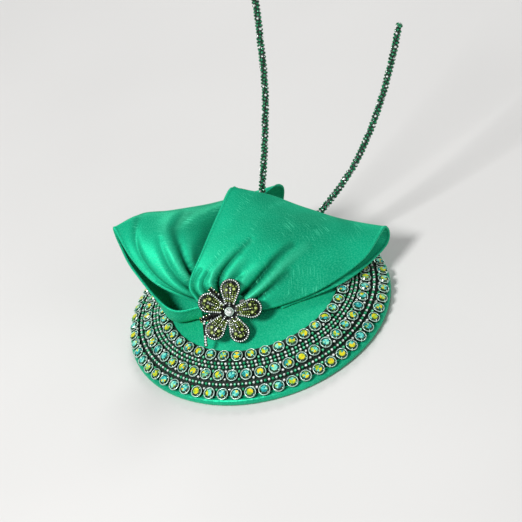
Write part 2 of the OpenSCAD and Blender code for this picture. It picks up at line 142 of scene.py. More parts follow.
def piece(name, heap, materials, replaced=(), body="hat", weld=0.0):
    """A mesh object from a heap. It rides on a body and stands for the CAD nodes it replaces."""
    mesh = bpy.data.meshes.new(name)
    mesh.from_pydata((np.concatenate(heap.points) * MM).tolist(), [], heap.faces)
    for material in materials:
        mesh.materials.append(material)
    mesh.polygons.foreach_set("material_index", heap.marks)
    mesh.polygons.foreach_set("use_smooth", heap.smooth)
    sizes = [len(face) for face in heap.faces]
    paint = np.repeat(np.concatenate(heap.paint), sizes, axis=0)
    colours = mesh.color_attributes.new("paint", "FLOAT_COLOR", "CORNER")
    colours.data.foreach_set("color", np.c_[paint, np.ones(len(paint))].ravel())
    cloth = mesh.attributes.new("cloth", "FLOAT_VECTOR", "POINT")
    cloth.data.foreach_set("vector", (np.concatenate(heap.cloth) * MM).ravel())
    mesh.update()
    obj = bpy.data.objects.new(name, mesh)
    bpy.context.scene.collection.objects.link(obj)
    if weld:
        bm = bmesh.new()
        bm.from_mesh(mesh)
        bmesh.ops.remove_doubles(bm, verts=bm.verts, dist=weld * MM)
        bmesh.ops.recalc_face_normals(bm, faces=bm.faces)
        bm.to_mesh(mesh)
        bm.free()
    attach(obj, body)
    if replaced:
        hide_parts(*replaced)
    return obj


def grid_faces(rows, columns, wrap_rows=False, wrap_columns=False):
    """Quads of a grid whose points are stored row by row."""
    i = np.arange(rows if wrap_rows else rows - 1)[:, None]
    j = np.arange(columns if wrap_columns else columns - 1)[None]
    i2, j2 = (i + 1) % rows, (j + 1) % columns
    quads = np.stack([i * columns + j, i * columns + j2, i2 * columns + j2, i2 * columns + j], -1)
    return [tuple(q) for q in quads.reshape(-1, 4).tolist()]


def slab(upper, under):
    """A closed sheet between two grids of points (rows, columns, xyz)."""
    rows, columns = upper.shape[:2]
    n = rows * columns
    faces = grid_faces(rows, columns)
    rim = (list(range(columns)) + [r * columns + columns - 1 for r in range(1, rows)]
           + [(rows - 1) * columns + j for j in range(columns - 2, -1, -1)]
           + [r * columns for r in range(rows - 2, 0, -1)])
    sides = [(b, a, n + a, n + b) for a, b in zip(rim, rim[1:] + rim[:1])]
    points = np.concatenate([upper.reshape(-1, 3), under.reshape(-1, 3)])
    return points, faces + [tuple(n + i for i in face[::-1]) for face in faces] + sides


def turned(profile, sides):
    """A profile of (radius, height) points turned about the z axis."""
    profile = np.asarray(profile, float)
    a = np.linspace(0, 2 * math.pi, sides, endpoint=False)[:, None]
    r, z = profile[None, :, 0], profile[None, :, 1]
    return np.stack([r * np.cos(a), r * np.sin(a), z + 0 * a], -1).reshape(-1, 3)


def rot(axis, angle):
    return np.array(Matrix.Rotation(angle, 4, axis))


def move(x, y, z):
    place = np.eye(4)
    place[:3, 3] = (x, y, z)
    return place


def on_dome(r, degrees, lift):
    """Placement on the dome at a foot radius and an angle, standing off by lift."""
    return (
        rot("Z", math.radians(degrees)) @ move(0, 0, DOME_Z) @ rot("Y", math.asin(r / DOME_R))
        @ move(0, 0, DOME_R + lift)
    )


def dome_z(r, under=0.0):
    return np.sqrt((DOME_R - under) ** 2 - np.asarray(r, float) ** 2) + DOME_Z


IN_BROOCH = move(*BROOCH_AT) @ rot("X", BROOCH_TILT)


def catmull(count, samples):
    """Weights of each of count points at every sample of the smooth curve through them."""
    t = np.asarray(samples) * (count - 1)
    i = np.minimum(t.astype(int), count - 2)
    f = t - i
    w = np.zeros((len(t), count + 2))
    terms = (-f + 2 * f**2 - f**3, 2 - 5 * f**2 + 3 * f**3, f + 4 * f**2 - 3 * f**3, f**3 - f**2)
    for k, term in enumerate(terms):
        w[np.arange(len(t)), i + k] += term / 2
    w[:, 1] += 2 * w[:, 0]
    w[:, 2] -= w[:, 0]
    w[:, -2] += 2 * w[:, -1]
    w[:, -3] -= w[:, -1]
    return w[:, 1:-1]


def unit(v):
    return v / np.maximum(np.linalg.norm(v, axis=-1, keepdims=True), 1e-12)


def curve(points, samples):
    return catmull(len(points), samples) @ np.asarray(points, float)


def frames_along(line):
    """Two directions across a line at each of its points, turning as little as they can."""
    ahead = unit(np.gradient(line, axis=0))
    side = np.zeros_like(line)
    side[0] = unit(np.cross(ahead[0], (0, 1, 0.1)))
    for k in range(1, len(line)):
        side[k] = unit(side[k - 1] - ahead[k] * (side[k - 1] @ ahead[k]))
    return ahead, side, np.cross(ahead, side)


def tube(line, radius, sides=10):
    """Points and faces of a closed tube along a line; radius is one number or one for each point."""
    line = np.asarray(line, float)
    _, side, up = frames_along(line)
    a = np.linspace(0, 2 * math.pi, sides, endpoint=False)
    radius = np.broadcast_to(radius, len(line))[:, None, None]
    ring = np.cos(a)[None, :, None] * side[:, None] + np.sin(a)[None, :, None] * up[:, None]
    points = (line[:, None] + radius * ring).reshape(-1, 3)
    ends = [tuple(range(sides))[::-1], tuple(range(len(points) - sides, len(points)))]
    return points, grid_faces(len(line), sides, wrap_columns=True) + ends


# ---- materials ----
def srgb(r, g, b):
    """The linear colour of three 0 to 255 numbers."""
    return tuple(c / 12.92 if c <= 0.04045 else ((c + 0.055) / 1.055) ** 2.4
                 for c in (r / 255, g / 255, b / 255)) + (1.0,)


class Finish:
    """A node material under construction."""

    def __init__(self, name, **settings):
        self.material = bpy.data.materials.new(name)
        self.material.use_nodes = True
        self.tree = self.material.node_tree
        self.shader = self.tree.nodes["Principled BSDF"]
        for key, value in settings.items():
            self.shader.inputs[key.replace("_", " ").title().replace("Ior", "IOR")
                               .replace("Bsdf", "BSDF")].default_value = value

    def node(self, kind, inputs=(), **settings):
        made = self.tree.nodes.new("ShaderNode" + kind)
        for key, value in settings.items():
            setattr(made, key, value)
        for socket, value in dict(inputs).items():
            if isinstance(value, bpy.types.NodeSocket):
                self.tree.links.new(value, made.inputs[socket])
            else:
                made.inputs[socket].default_value = value
        return made

    def where(self, source, scale, turn=0.0):
        """Coordinates from the object or from the cloth, turned about Z, scaled by a triple."""
        if source == "object":
            vector = self.node("TexCoord").outputs["Object"]
        else:
            vector = self.node("Attribute", attribute_name=source).outputs["Vector"]
        if turn:
            vector = self.node("Mapping", {"Vector": vector, "Rotation": (0, 0, turn)}
                               ).outputs["Vector"]
        return self.node("Mapping", {"Vector": vector, "Scale": scale}).outputs["Vector"]

    def noise(self, source, scale, detail=2.0, rough=0.5, turn=0.0):
        return self.node("TexNoise", {"Vector": self.where(source, scale, turn), "Scale": 1.0,
                                      "Detail": detail, "Roughness": rough}).outputs["Fac"]

    def painted(self):
        """The red of the faces' paint."""
        colour = self.node("Attribute", attribute_name="paint").outputs["Color"]
        return self.node("SeparateColor", {"Color": colour}).outputs["Red"]

    def ramp(self, value, stops):
        made = self.node("ValToRGB", {"Fac": value})
        ramp = made.color_ramp
        while len(ramp.elements) < len(stops):
            ramp.elements.new(1.0)
        for element, (position, colour) in zip(ramp.elements, stops):
            element.position = position
            element.color = colour if hasattr(colour, "__len__") else (colour,) * 3 + (1,)
        return made.outputs["Color"]

    def math(self, operation, a, b=0.0, clamp=False):
        return self.node("Math", {0: a, 1: b}, operation=operation, use_clamp=clamp).outputs[0]

    def mix(self, factor, a, b):
        made = self.node("Mix", data_type="RGBA")
        for socket, value in ((0, factor), (6, a), (7, b)):
            if isinstance(value, bpy.types.NodeSocket):
                self.tree.links.new(value, made.inputs[socket])
            else:
                made.inputs[socket].default_value = value
        return made.outputs[2]

    def bump(self, height, distance, strength=1.0, normal=None):
        inputs = {"Height": height, "Distance": distance, "Strength": strength}
        if normal is not None:
            inputs["Normal"] = normal
        return self.node("Bump", inputs).outputs["Normal"]

    def feed(self, **links):
        for key, socket in links.items():
            self.tree.links.new(socket, self.shader.inputs[key.replace("_", " ")])
        return self.material


def satin(name, base, light, dark, source, rough, grain_scale=1500, slubs=0.0, fold_shade_and_highlight=False):
    """Satin with a fine grain and a cloudy depth of colour. Where slubs is above 0 it has slub
    threads, and for pleated cloth it has painted shade down in the folds and painted highlight on their
    crests, as the paint says."""
    f = Finish(name, roughness=rough, metallic=0.28, sheen_weight=0.15, sheen_roughness=0.4)
    f.shader.inputs["Sheen Tint"].default_value = light
    f.shader.inputs["Specular IOR Level"].default_value = 0.46
    f.shader.inputs["Specular Tint"].default_value = light
    cloud = f.noise(source, (18, 18, 18), detail=3)
    colour = f.mix(f.ramp(cloud, [(0.3, 0.0), (0.7, 1.0)]), dark, base)
    grain = f.noise(source, (grain_scale, grain_scale * 0.5, grain_scale), detail=1)
    colour = f.mix(f.ramp(grain, [(0.4, 0.0), (0.8, 0.34)]), colour, light)
    normal = f.bump(grain, 0.0001, 0.5)
    if fold_shade_and_highlight:
        # Painted shade: the fold valleys are darkened towards deep green; painted highlight: the crests
        # are lightened
        relief = f.painted()
        colour = f.mix(f.ramp(relief, [(0.1, 0.85), (0.5, 0.0)]), colour, srgb(0, 62, 42))
        colour = f.mix(f.ramp(relief, [(0.52, 0.0), (0.9, 0.45)]), colour, light)
    if slubs:
        line = f.noise(source, (70, 1900, 60), detail=0, turn=math.radians(32))
        where = f.noise(source, (90, 30, 30), detail=0)
        mark = f.math("MULTIPLY", f.ramp(line, [(0.66, 0.0), (0.7, 1.0)]),
                      f.ramp(where, [(0.54, 0.0), (0.64, slubs)]))
        colour = f.mix(mark, colour, light)
        normal = f.bump(mark, 0.0002, 0.5, normal)
    return f.feed(Base_Color=colour, Normal=normal)


EMERALD, EMERALD_LIGHT, EMERALD_DARK = srgb(12, 192, 143), srgb(96, 244, 194), srgb(3, 142, 102)
cover_satin = satin("cover_satin", srgb(18, 186, 138), EMERALD_LIGHT, srgb(12, 176, 128), "object",
                    0.55, 1300)
# The bow's satin has painted shade in its folds and painted highlight on their crests
bow_satin = satin("bow_satin", EMERALD, EMERALD_LIGHT, EMERALD_DARK, "cloth", 0.52, 1600, 0.5,
                  fold_shade_and_highlight=True)
binding_satin = satin("binding_satin", srgb(22, 186, 138), EMERALD_LIGHT, srgb(8, 150, 110),
                      "object", 0.4)
lining_cloth = satin("lining_cloth", srgb(4, 98, 70), srgb(30, 150, 112), srgb(2, 74, 52),
                     "object", 0.55)


def metal(name, colour, dark, rough, scale=400.0, metallic=1.0, under=None):
    """Cast or stamped metal, duller and darker in patches. With under it is that colour where the
    paint's red is 1: painted shade, as on the settings' cup walls and links."""
    f = Finish(name, metallic=metallic)
    patch = f.noise("object", (scale,) * 3, detail=4, rough=0.6)
    colour = f.mix(f.ramp(patch, [(0.35, 0.0), (0.65, 1.0)]), dark, colour)
    if under:
        colour = f.mix(f.painted(), colour, under)
    dull = f.ramp(patch, [(0.3, min(rough + 0.18, 1)), (0.7, rough)])
    fine = f.noise("object", (scale * 6,) * 3, detail=2)
    return f.feed(Base_Color=colour, Roughness=dull, Normal=f.bump(fine, 0.00004, 0.4))


# The settings are bright silver at the lips, with painted shade of dark green on their cup walls and
# links
silver = metal("silver_setting", srgb(226, 252, 240), srgb(176, 216, 198), 0.25, metallic=0.5,
               under=srgb(6, 44, 32))
gunmetal = metal("gunmetal_casting", srgb(62, 64, 62), srgb(16, 18, 17), 0.32, 600)
pin_steel = metal("pin_steel", srgb(190, 190, 186), srgb(120, 120, 118), 0.25)
wire_steel = metal("wire_steel", srgb(110, 110, 108), srgb(60, 60, 58), 0.4)
dark_cup = metal("dark_cup", srgb(24, 110, 80), srgb(4, 34, 24), 0.3, 500)


def stone(name, stops, rough=0.05):
    """Cut glass seen face by face: the paint's red picks each facet's colour, the glass's own colour
    with painted shade at the dark end of the ramp and painted glints at the bright end.
    """
    f = Finish(name, roughness=rough, ior=1.55, coat_weight=0.35, coat_roughness=0.02)
    paint = f.painted()
    inside = f.noise("object", (800, 800, 800), detail=1)
    pick = f.math("ADD", paint,
                  f.math("MULTIPLY", f.math("SUBTRACT", inside, 0.5), 0.3), clamp=True)
    return f.feed(Base_Color=f.ramp(pick, stops))


AB_STOPS = [
    (0.00, srgb(1, 22, 12)), (0.12, srgb(18, 62, 22)), (0.24, srgb(6, 104, 72)),
    (0.36, srgb(14, 142, 146)), (0.46, srgb(66, 204, 196)), (0.56, srgb(160, 246, 214)),
    (0.66, srgb(128, 184, 36)), (0.78, srgb(204, 212, 30)), (0.90, srgb(244, 226, 44)),
    (1.00, srgb(214, 168, 24)),
]
ab_crystal = stone("ab_crystal", AB_STOPS)
emerald_stone = stone("emerald_stone", [
    (0.0, srgb(0, 20, 12)), (0.25, srgb(4, 104, 64)), (0.6, srgb(20, 166, 108)),
    (1.0, srgb(150, 250, 200))])
clear_stone = stone("clear_stone", [
    (0.0, srgb(40, 56, 48)), (0.3, srgb(134, 154, 142)), (0.6, srgb(232, 242, 234)),
    (1.0, srgb(255, 255, 255))])
peridot_stone = stone("peridot_stone", [
    (0.0, srgb(26, 38, 10)), (0.4, srgb(92, 116, 44)), (0.75, srgb(150, 176, 80)),
    (1.0, srgb(220, 234, 160))])


def plain(name, colour, dark, rough, scale, bump=0.0001, **settings):
    """A matt material with patchy colour and a fine raised grain."""
    f = Finish(name, roughness=rough, **settings)
    patch = f.noise("object", (scale,) * 3, detail=4)
    grain = f.noise("object", (scale * 5,) * 3, detail=2)
    return f.feed(Base_Color=f.mix(f.ramp(patch, [(0.35, 0.0), (0.65, 1.0)]), dark, colour),
                  Normal=f.bump(grain, bump, 0.6))


buckram = plain("buckram", srgb(196, 180, 148), srgb(160, 142, 112), 0.85, 260)
felt = plain("felt", srgb(14, 120, 88), srgb(6, 84, 60), 0.95, 500, sheen_weight=0.4)
comb_metal = plain("comb_metal", srgb(24, 24, 26), srgb(8, 8, 9), 0.35, 300, 0.00003)
thread = plain("thread", srgb(16, 128, 94), srgb(6, 84, 60), 0.7, 1500)
quill_wrap = plain("quill_wrap", srgb(6, 34, 22), srgb(1, 7, 4), 0.4, 900)
band_net = plain("band_net", srgb(4, 46, 32), srgb(1, 10, 6), 0.7, 900, 0.0003)


# ---- disc ----
def dome_shell(top, bottom, edge_r, sides, rings, ripple=0.0, lobes=0):
    """A dome layer with an optional ripple of its outer face towards the edge."""
    r = np.linspace(0, edge_r, rings)
    outer = np.c_[r, dome_z(r, top)]
    inner = np.c_[r, dome_z(r, bottom)][::-1]
    profile = np.concatenate([outer, inner])
    points = turned(profile, sides)
    if ripple:
        radius = np.hypot(points[:, 0], points[:, 1])
        angle = np.arctan2(points[:, 1], points[:, 0])
        wave = np.sin(lobes * angle + 2 * np.sin(3 * angle)) + 0.6 * np.sin(2.3 * lobes * angle)
        points[:, 2] += ripple * wave * (radius / edge_r) ** 3
    return points, grid_faces(sides, len(profile), wrap_rows=True)


cover = Heap()
cover.add(*dome_shell(0, COVER_T, LAYER_R, 240, 60), smooth=True)
cover_obj = piece("satin_cover", cover, [cover_satin], ["top_cover"], weld=0.01)

liner = Heap()
LINING_TOP = COVER_T + BASE_T + 0.1
liner.add(*dome_shell(LINING_TOP, LINING_TOP + LINING_T, LAYER_R, 240, 40, ripple=0.12, lobes=36),
          smooth=True)
liner_obj = piece("lining_disc", liner, [lining_cloth], ["lining"], weld=0.01)


def binding_ring(inset):
    """Rolled bias binding with small diagonal puckers and a lapped join at the back; inset is how
    far inside its outer face the surface lies."""
    sides, around = 600, 28
    a = np.linspace(0, 2 * math.pi, sides, endpoint=False)[:, None]
    t = np.linspace(0, 2 * math.pi, around, endpoint=False)[None]
    pucker = 0.07 * np.sin(90 * a + 1.5 * t + 3 * np.sin(5 * a)) + 0.05 * np.sin(151 * a - t)
    lap = 0.28 * np.exp(-(((a - math.radians(118)) * RIM_R / 3.5) ** 4))
    size = EDGE_ROUND - 0.16 + pucker * 0.7 + lap * 0.4 - inset
    r = RIM_R - EDGE_ROUND + size * np.cos(t)
    z = EDGE_ROUND - 0.1 + (size + 0.02) * np.sin(t)
    seam = 0.22 * np.exp(-(((t - 2.25) / 0.12) ** 2))
    r = np.maximum(r, EDGE_IN_R + inset)
    z = np.maximum(z - seam, inset)
    points = np.stack([r * np.cos(a), r * np.sin(a), z + 0 * a], -1).reshape(-1, 3)
    faces = grid_faces(sides, around, True, True)
    return points, [face[::-1] for face in faces] if inset else faces


binding = Heap()
binding.add(*binding_ring(0), smooth=True)
binding.add(*binding_ring(0.7), smooth=True)
binding_obj = piece("edge_bias_binding", binding, [binding_satin],
                    ["edge_binding"])

# ---- crystal band ----
def stone_ring(radius, z, count, turn=0.0):
    """Points evenly spaced round a circle, turned by a share of their spacing."""
    a = (np.arange(count) + turn) * 2 * math.pi / count
    return np.c_[radius * np.cos(a), radius * np.sin(a), np.full(count, z)]


def chaton(d, table, crown, skirt, sides=8):
    """Points, faces and each face's place (0 table, 0.5 crown, 1 girdle) of a cut stone."""
    r, n = d / 2, sides
    points = np.concatenate([
        stone_ring(table * r, crown, n),
        stone_ring((0.42 + table * 0.5) * r, crown * 0.62, n, 0.5),
        stone_ring(r, 0, 2 * n), stone_ring(r, -skirt, 2 * n), [[0, 0, crown - 0.10]]])
    t, m, g, s, c = 0, n, 2 * n, 4 * n, 6 * n
    faces, kind = [], []
    for i in range(n):
        j = (i + 1) % n
        h = (i - 1) % n
        faces += [(c, t + i, t + j), (t + j, t + i, m + i),
                  (t + i, m + h, g + 2 * i, m + i),
                  (m + i, g + 2 * i, g + 2 * i + 1),
                  (m + i, g + 2 * i + 1, g + (2 * i + 2) % (2 * n))]
        kind += [0.0, 0.35, 0.6, 1.0, 1.0]
    for i in range(2 * n):
        j = (i + 1) % (2 * n)
        faces.append((g + j, g + i, s + i, s + j))
        kind.append(1.0)
    faces.append(tuple(range(s, s + 2 * n))[::-1])
    kind.append(1.0)
    return points, faces, np.array(kind)


def bezel(d, inner_d, height, sides=28):
    """A thin cup with a rolled lip."""
    r, i = d / 2, inner_d / 2
    profile = [(i, 0.5), (i, height - 0.25), (i - 0.15, height), (i + 0.05, height + 0.12),
               (r - 0.05, height + 0.08), (r, height - 0.15), (r - 0.12, 0.9), (r - 0.3, 0.0),
               (i - 1.6, 0.0), (i - 1.6, 0.3)]
    return turned(profile, sides), grid_faces(sides, len(profile), True, True)


def prong(r, height):
    """A small claw bent over a stone's edge."""
    line = [(r + 0.1, 0, height - 0.9), (r + 0.12, 0, height), (r - 0.3, 0, height + 0.62),
            (r - 0.85, 0, height + 0.72)]
    return tube(curve(line, np.linspace(0, 1, 7)), np.linspace(0.42, 0.3, 7), 7)


CHATON = chaton(CRYSTAL_D - 0.8, 0.68, 1.5, 0.6, 7)
BEZEL = bezel(CUP_D, CRYSTAL_D - 0.4, CUP_H)
# 1 for each face of a cup's profile below its lip, where the cup gets painted shade
BEZEL_SHADED_FACES = np.array([1, 0, 0, 0, 0, 1, 1, 1, 1, 1])
PRONG = prong(CRYSTAL_D / 2, CUP_H)


# Ramp positions of an iridescent crystal's facets: in its table, and in its crown where that
# leans away from the viewer, sideways and towards the viewer. They paint each facet's reflection and
# shade by its lean.
GOLD = ((0.62, 0.95), (0.3, 0.74), (0.08, 0.68), (0.0, 0.2))
TEAL = ((0.34, 0.6), (0.26, 0.58), (0.06, 0.46), (0.0, 0.22))


def painted_crystal_reflections(points, faces, kind, place, golden):
    """Facet colours of an iridescent crystal, by each facet's lean to or from the viewer: painted
    reflections, with painted shade on the girdle.
    """
    centre = np.array([points[list(face)].mean(axis=0) for face in faces])
    lean = -(centre @ place[:3, :3].T)[:, 1] / (CRYSTAL_D / 2) + rng.normal(0, 0.12, len(kind))
    part = np.where(kind < 0.3, 0, np.where(lean < -0.15, 1, np.where(lean < 0.25, 2, 3)))
    own, other = (GOLD, TEAL) if golden else (TEAL, GOLD)
    span = np.where(rng.random(len(kind))[:, None] < 0.2, np.array(other)[part], np.array(own)[part])
    facet = rng.uniform(span[:, 0], span[:, 1])
    # Painted shade: the girdle and lower facets are darkened
    facet = np.where(kind > 0.9, facet * 0.5, facet)
    return np.c_[facet, np.full(len(kind), float(golden)), kind]


def stone_paint(kind, tone, spread, rim_shade):
    """Facet colours of one stone: the table keeps the stone's own tone, carried up the ramp to a
    painted glint, and the rim tends to a darker tone as painted shade.
    """
    facet = tone * (1 - kind) + rim_shade * kind + rng.normal(0, spread, len(kind))
    return np.c_[np.clip(facet, 0, 1), np.full(len(kind), tone), kind]


for name, radius, count, start in zip(("inner", "middle", "outer"), RING_R, RING_N, RING_A0):
    cups, stones = Heap(), Heap()
    wall = np.tile(BEZEL_SHADED_FACES, len(BEZEL[1]) // len(BEZEL_SHADED_FACES))
    for k in range(count):
        degrees = start + k * 360 / count
        place = on_dome(radius, degrees, ON_MESH)
        # The cup walls below the lip carry painted shade
        cups.add(*BEZEL, place=place, paint=wall[:, None] * (1, 0, 0), smooth=True)
        for q in range(4):
            cups.add(*PRONG, place=place @ rot("Z", math.radians(45 + 90 * q)), smooth=True)
        # Links to the next cups, in the same painted shade as the cup walls
        for s in (-1, 1):
            cups.add(*tube([(0, s * (CUP_D / 2 - 0.3), 0.7), (0, s * (CUP_D / 2 + 0.55), 0.7)],
                           0.5, 8), place=place, paint=(1, 0, 0), smooth=True)
        points, faces, kind = CHATON
        seat = place @ move(0, 0, 1.65) @ rot("Z", rng.uniform(0, 6.3))
        stones.add(points, faces, place=seat,
                   paint=painted_crystal_reflections(points, faces, kind, seat, rng.random() < 0.64))
    piece("bezels_" + name, cups, [silver], ["cups_" + name])
    piece("chatons_" + name, stones, [ab_crystal], ["crystals_" + name])

SMALL_STONE = chaton(SMALL_D - 0.15, 0.6, 0.9, 0.5, 6)
SMALL_CUP_PROFILE = [(0.9, 0.25), (1.0, 0.85), (1.13, 1.05), (1.25, 0.9), (1.25, 0.1), (1.15, 0.0),
                     (0.8, 0.0)]
SMALL_CUP = (turned(SMALL_CUP_PROFILE, 10), grid_faces(10, len(SMALL_CUP_PROFILE), True, True))

spots = []
for g in (0, 1):
    for off in ROW_OFFS[g]:
        r = (RING_R[g] + RING_R[g + 1]) / 2 + off
        n = 2 * math.floor(math.pi * r / SMALL_PITCH)
        spots += [(r, (i + (0.5 if off > 0 else 0)) * 360 / n, i % 2) for i in range(n)]
    for k in (0, 1):
        r, n = RING_R[g + k] + (1 - 2 * k) * GAP_OFF, RING_N[g + k]
        spots += [(r, RING_A0[g + k] + (i + 0.5) * 360 / n, i % 2) for i in range(n)]
small = (Heap(), Heap())
for r, degrees, clear in spots:
    place = on_dome(r, degrees, ON_MESH)
    points, faces, kind = SMALL_STONE
    small[clear].add(points, faces,
                     place=place @ move(0, 0, 1.15) @ rot("Z", rng.uniform(0, 6.3)),
                     paint=stone_paint(kind, rng.choice([0.9, 0.75, 0.55]), 0.15, (0.35, 0.05)[clear]))
    small[clear].add(*SMALL_CUP, place=place, mark=1, smooth=True)
piece("small_emeralds", small[0], [emerald_stone, dark_cup],
      ["small_stones_emerald"])
piece("small_clears", small[1], [clear_stone, dark_cup], ["small_stones_clear"])


# ---- bow ----
def fold_relief(folds, surface, u, v):
    """Height of a set of folds over a surface, in mm. Each fold is its two ends in (u, v), how far
    its middle bends sideways, and its half width and its height at the two ends."""
    total = np.zeros(surface.shape[:2])
    share = np.linspace(0, 1, 40)
    for start, end, bend, widths, heights in folds:
        line = np.outer(1 - share, start) + np.outer(share, end)
        line[:, 0] += 4 * bend * share * (1 - share)
        i = np.clip(line[:, 1], 0, 1) * (len(v) - 1)
        j = np.interp(line[:, 0], u, np.arange(len(u)))
        on = surface[np.rint(i).astype(int), np.rint(j).astype(int)]
        best, near = np.full(total.shape, 1e9), np.zeros(total.shape)
        for k, (a, b) in enumerate(zip(on[:-1], on[1:])):
            d = b - a
            t = np.clip(((surface - a) @ d) / max(d @ d, 1e-9), 0, 1)
            away = np.linalg.norm(surface - a - t[..., None] * d, axis=-1)
            away = np.where(np.abs(v[:, None] - line[k, 1]) < 0.16, away, 1e9)
            near = np.where(away < best, (k + t) / (len(on) - 1), near)
            best = np.minimum(best, away)
        width = widths[0] + (widths[1] - widths[0]) * near
        height = heights[0] + (heights[1] - heights[0]) * near
        total += height * np.exp(-((best / width) ** 2))
    return total


def surface_normals(surface):
    return unit(np.cross(np.gradient(surface, axis=1), np.gradient(surface, axis=0)))


def bow_strip(net, columns, rows, thick, across, along, folds):
    """A cloth strip over a net, thickened, with a rolled selvage, folds and a soft ripple. Its
    paint is how far a point stands out of the folds or lies down in them, for painted shade in the
    folds and painted highlight on the crests."""
    s = np.linspace(0, 1, columns)
    u = 0.7 * s + 0.3 * (0.5 - 0.5 * np.cos(math.pi * s))
    v = np.linspace(0, 1, rows)
    net = np.asarray(net, float)
    middle = np.einsum("vi,ijk,uj->vuk", catmull(len(net), v), net, catmull(net.shape[1], u))
    ug, vg = u[None, :], v[:, None]
    relief = fold_relief(folds, middle, u, v)
    height = relief + soft_ripple(ug, vg)
    middle = middle + height[..., None] * surface_normals(middle)
    normal = surface_normals(middle)
    steps = np.linalg.norm(np.diff(middle, axis=1), axis=2)
    run = np.concatenate([np.zeros((rows, 1)), np.cumsum(steps, axis=1)], axis=1)
    edge = np.minimum(run, run[:, -1:] - run)
    roll = 0.45 * np.exp(-(((edge - 1.3) / 0.8) ** 2))
    close = np.clip(edge / 0.7, 0, 1)
    half = (thick / 2 + roll) * np.sqrt(np.clip(1 - (1 - close) ** 2, 0.0004, 1))
    end = np.clip(np.minimum(vg, 1 - vg) * along / 0.7, 0, 1)
    half = half * np.sqrt(np.clip(1 - (1 - end) ** 2, 0.0004, 1))
    top, bottom = middle + half[..., None] * normal, middle - half[..., None] * normal
    points, faces = slab(top, bottom)
    flat = np.stack([ug * across + 0 * vg, vg * along + 0 * ug, 0 * ug + 0 * vg], -1).reshape(-1, 3)
    # Paint for painted shade in the valleys and painted highlight on the crests
    paint = np.clip(0.5 + relief / 7, 0, 1).ravel()
    tone = np.array([paint[[i % (rows * columns) for i in face]].mean() for face in faces])
    return points, faces, np.concatenate([flat, flat + (0, 0, 5)]), np.c_[tone, tone, tone]


def soft_ripple(u, v):
    """A slight unevenness all over the cloth, in mm."""
    return 0.25 * (np.sin(9 * u + 5 * v) * np.sin(11 * v - 2 * u + 1)
                   + 0.5 * np.sin(23 * u - 7 * v) * np.sin(19 * v + 3))


def gathers(count, at_knot, at_end, reach, width, height, bend, widen, fade):
    """Folds fanning out of the knot, a valley and a crest in turn, as fold_relief takes them.
    Each pair holds the first fold's value and the last one's, and those between are evenly
    spaced. A fold gets wider and lower towards its outer end."""
    pairs = (at_knot, at_end, reach, width, height)
    folds = []
    for k, values in enumerate(zip(*(np.linspace(first, last, count) for first, last in pairs))):
        start, end, out, half, high = values
        uneven = 1 + 0.4 * math.sin(5 * k)
        high = 0.55 * high if k % 2 else -high
        folds.append(((start, 0.0), (end, out * uneven), bend, (half, half * widen),
                      (high * uneven, high * fade)))
    return folds


CLOTH_T = 1.2
# The left loop is drawn into the knot by a few broad folds, the right one by finer gathers
# that get deeper and longer towards its lower selvage
LEFT_FOLDS = gathers(6, (0.1, 0.75), (0.2, 0.6), (0.5, 0.3), (1.5, 2.5), (2.5, 3), -0.06, 2, 0.3)
RIGHT_FOLDS = gathers(11, (0.1, 0.9), (0.1, 0.8), (0.2, 0.26), (1, 2.3), (2.5, 5), -0.03, 1.6, 0.3)
for name, net, across, along, folds, node in (
    ("bow_left", LEFT_NET, 100, 200, LEFT_FOLDS, "bow_left_loop"),
    ("bow_right", RIGHT_NET, 110, 200, RIGHT_FOLDS, "bow_right_loop"),
):
    strip = Heap()
    points, faces, cloth, tone = bow_strip(net, 165, 290, CLOTH_T, across, along, folds)
    strip.add(points, faces, smooth=True, cloth=cloth, paint=tone)
    strip_obj = piece(name, strip, [bow_satin], [node])


# ---- quills ----
QUILL_STONE = chaton(2.1, 0.55, 0.7, 0.5, 6)


def quill(name, route, nodes):
    """Dark wrapped cord with rows of stones wound round it."""
    samples = np.linspace(0, 1, 400)
    line = curve(route, samples)
    run = np.r_[0, np.cumsum(np.linalg.norm(np.diff(line, axis=0), axis=1))]
    ahead, side, up = frames_along(line)
    wrap = Heap()
    turns = 0.14 * np.sin(2 * math.pi * run / 1.35)
    wrap.add(*tube(line, QUILL_D / 2 - 0.95 + turns, 14), smooth=True, mark=0)
    around = 5
    rows = round((run[-1] - 0.6) / 2.85)
    pitch = (run[-1] - 0.6) / rows
    for k in range(rows):
        at = 1.0 + k * pitch
        for q in range(around):
            here = at + (q % 2) * pitch / 2
            if here > run[-1]:
                continue
            p = np.array([np.interp(here, run, line[:, c]) for c in range(3)])
            t = unit(np.array([np.interp(here, run, ahead[:, c]) for c in range(3)]))
            s = np.array([np.interp(here, run, side[:, c]) for c in range(3)])
            w = np.array([np.interp(here, run, up[:, c]) for c in range(3)])
            angle = 2 * math.pi * q / around + 0.22 * k
            out = unit(math.cos(angle) * s + math.sin(angle) * w)
            place = np.eye(4)
            place[:3, 0], place[:3, 1], place[:3, 2] = t, np.cross(out, t), out
            place[:3, 3] = p + out * (QUILL_D / 2 - 0.75)
            clear = (2 * k + q) % 5 == 0
            points, faces, kind = QUILL_STONE
            wrap.add(points, faces, place=place @ rot("Z", rng.uniform(0, 6.3)),
                     mark=2 if clear else 1,
                     paint=stone_paint(kind, 0.7 if clear else 0.42, 0.2, 0.15))
    piece(name, wrap, [quill_wrap, emerald_stone, clear_stone], nodes)


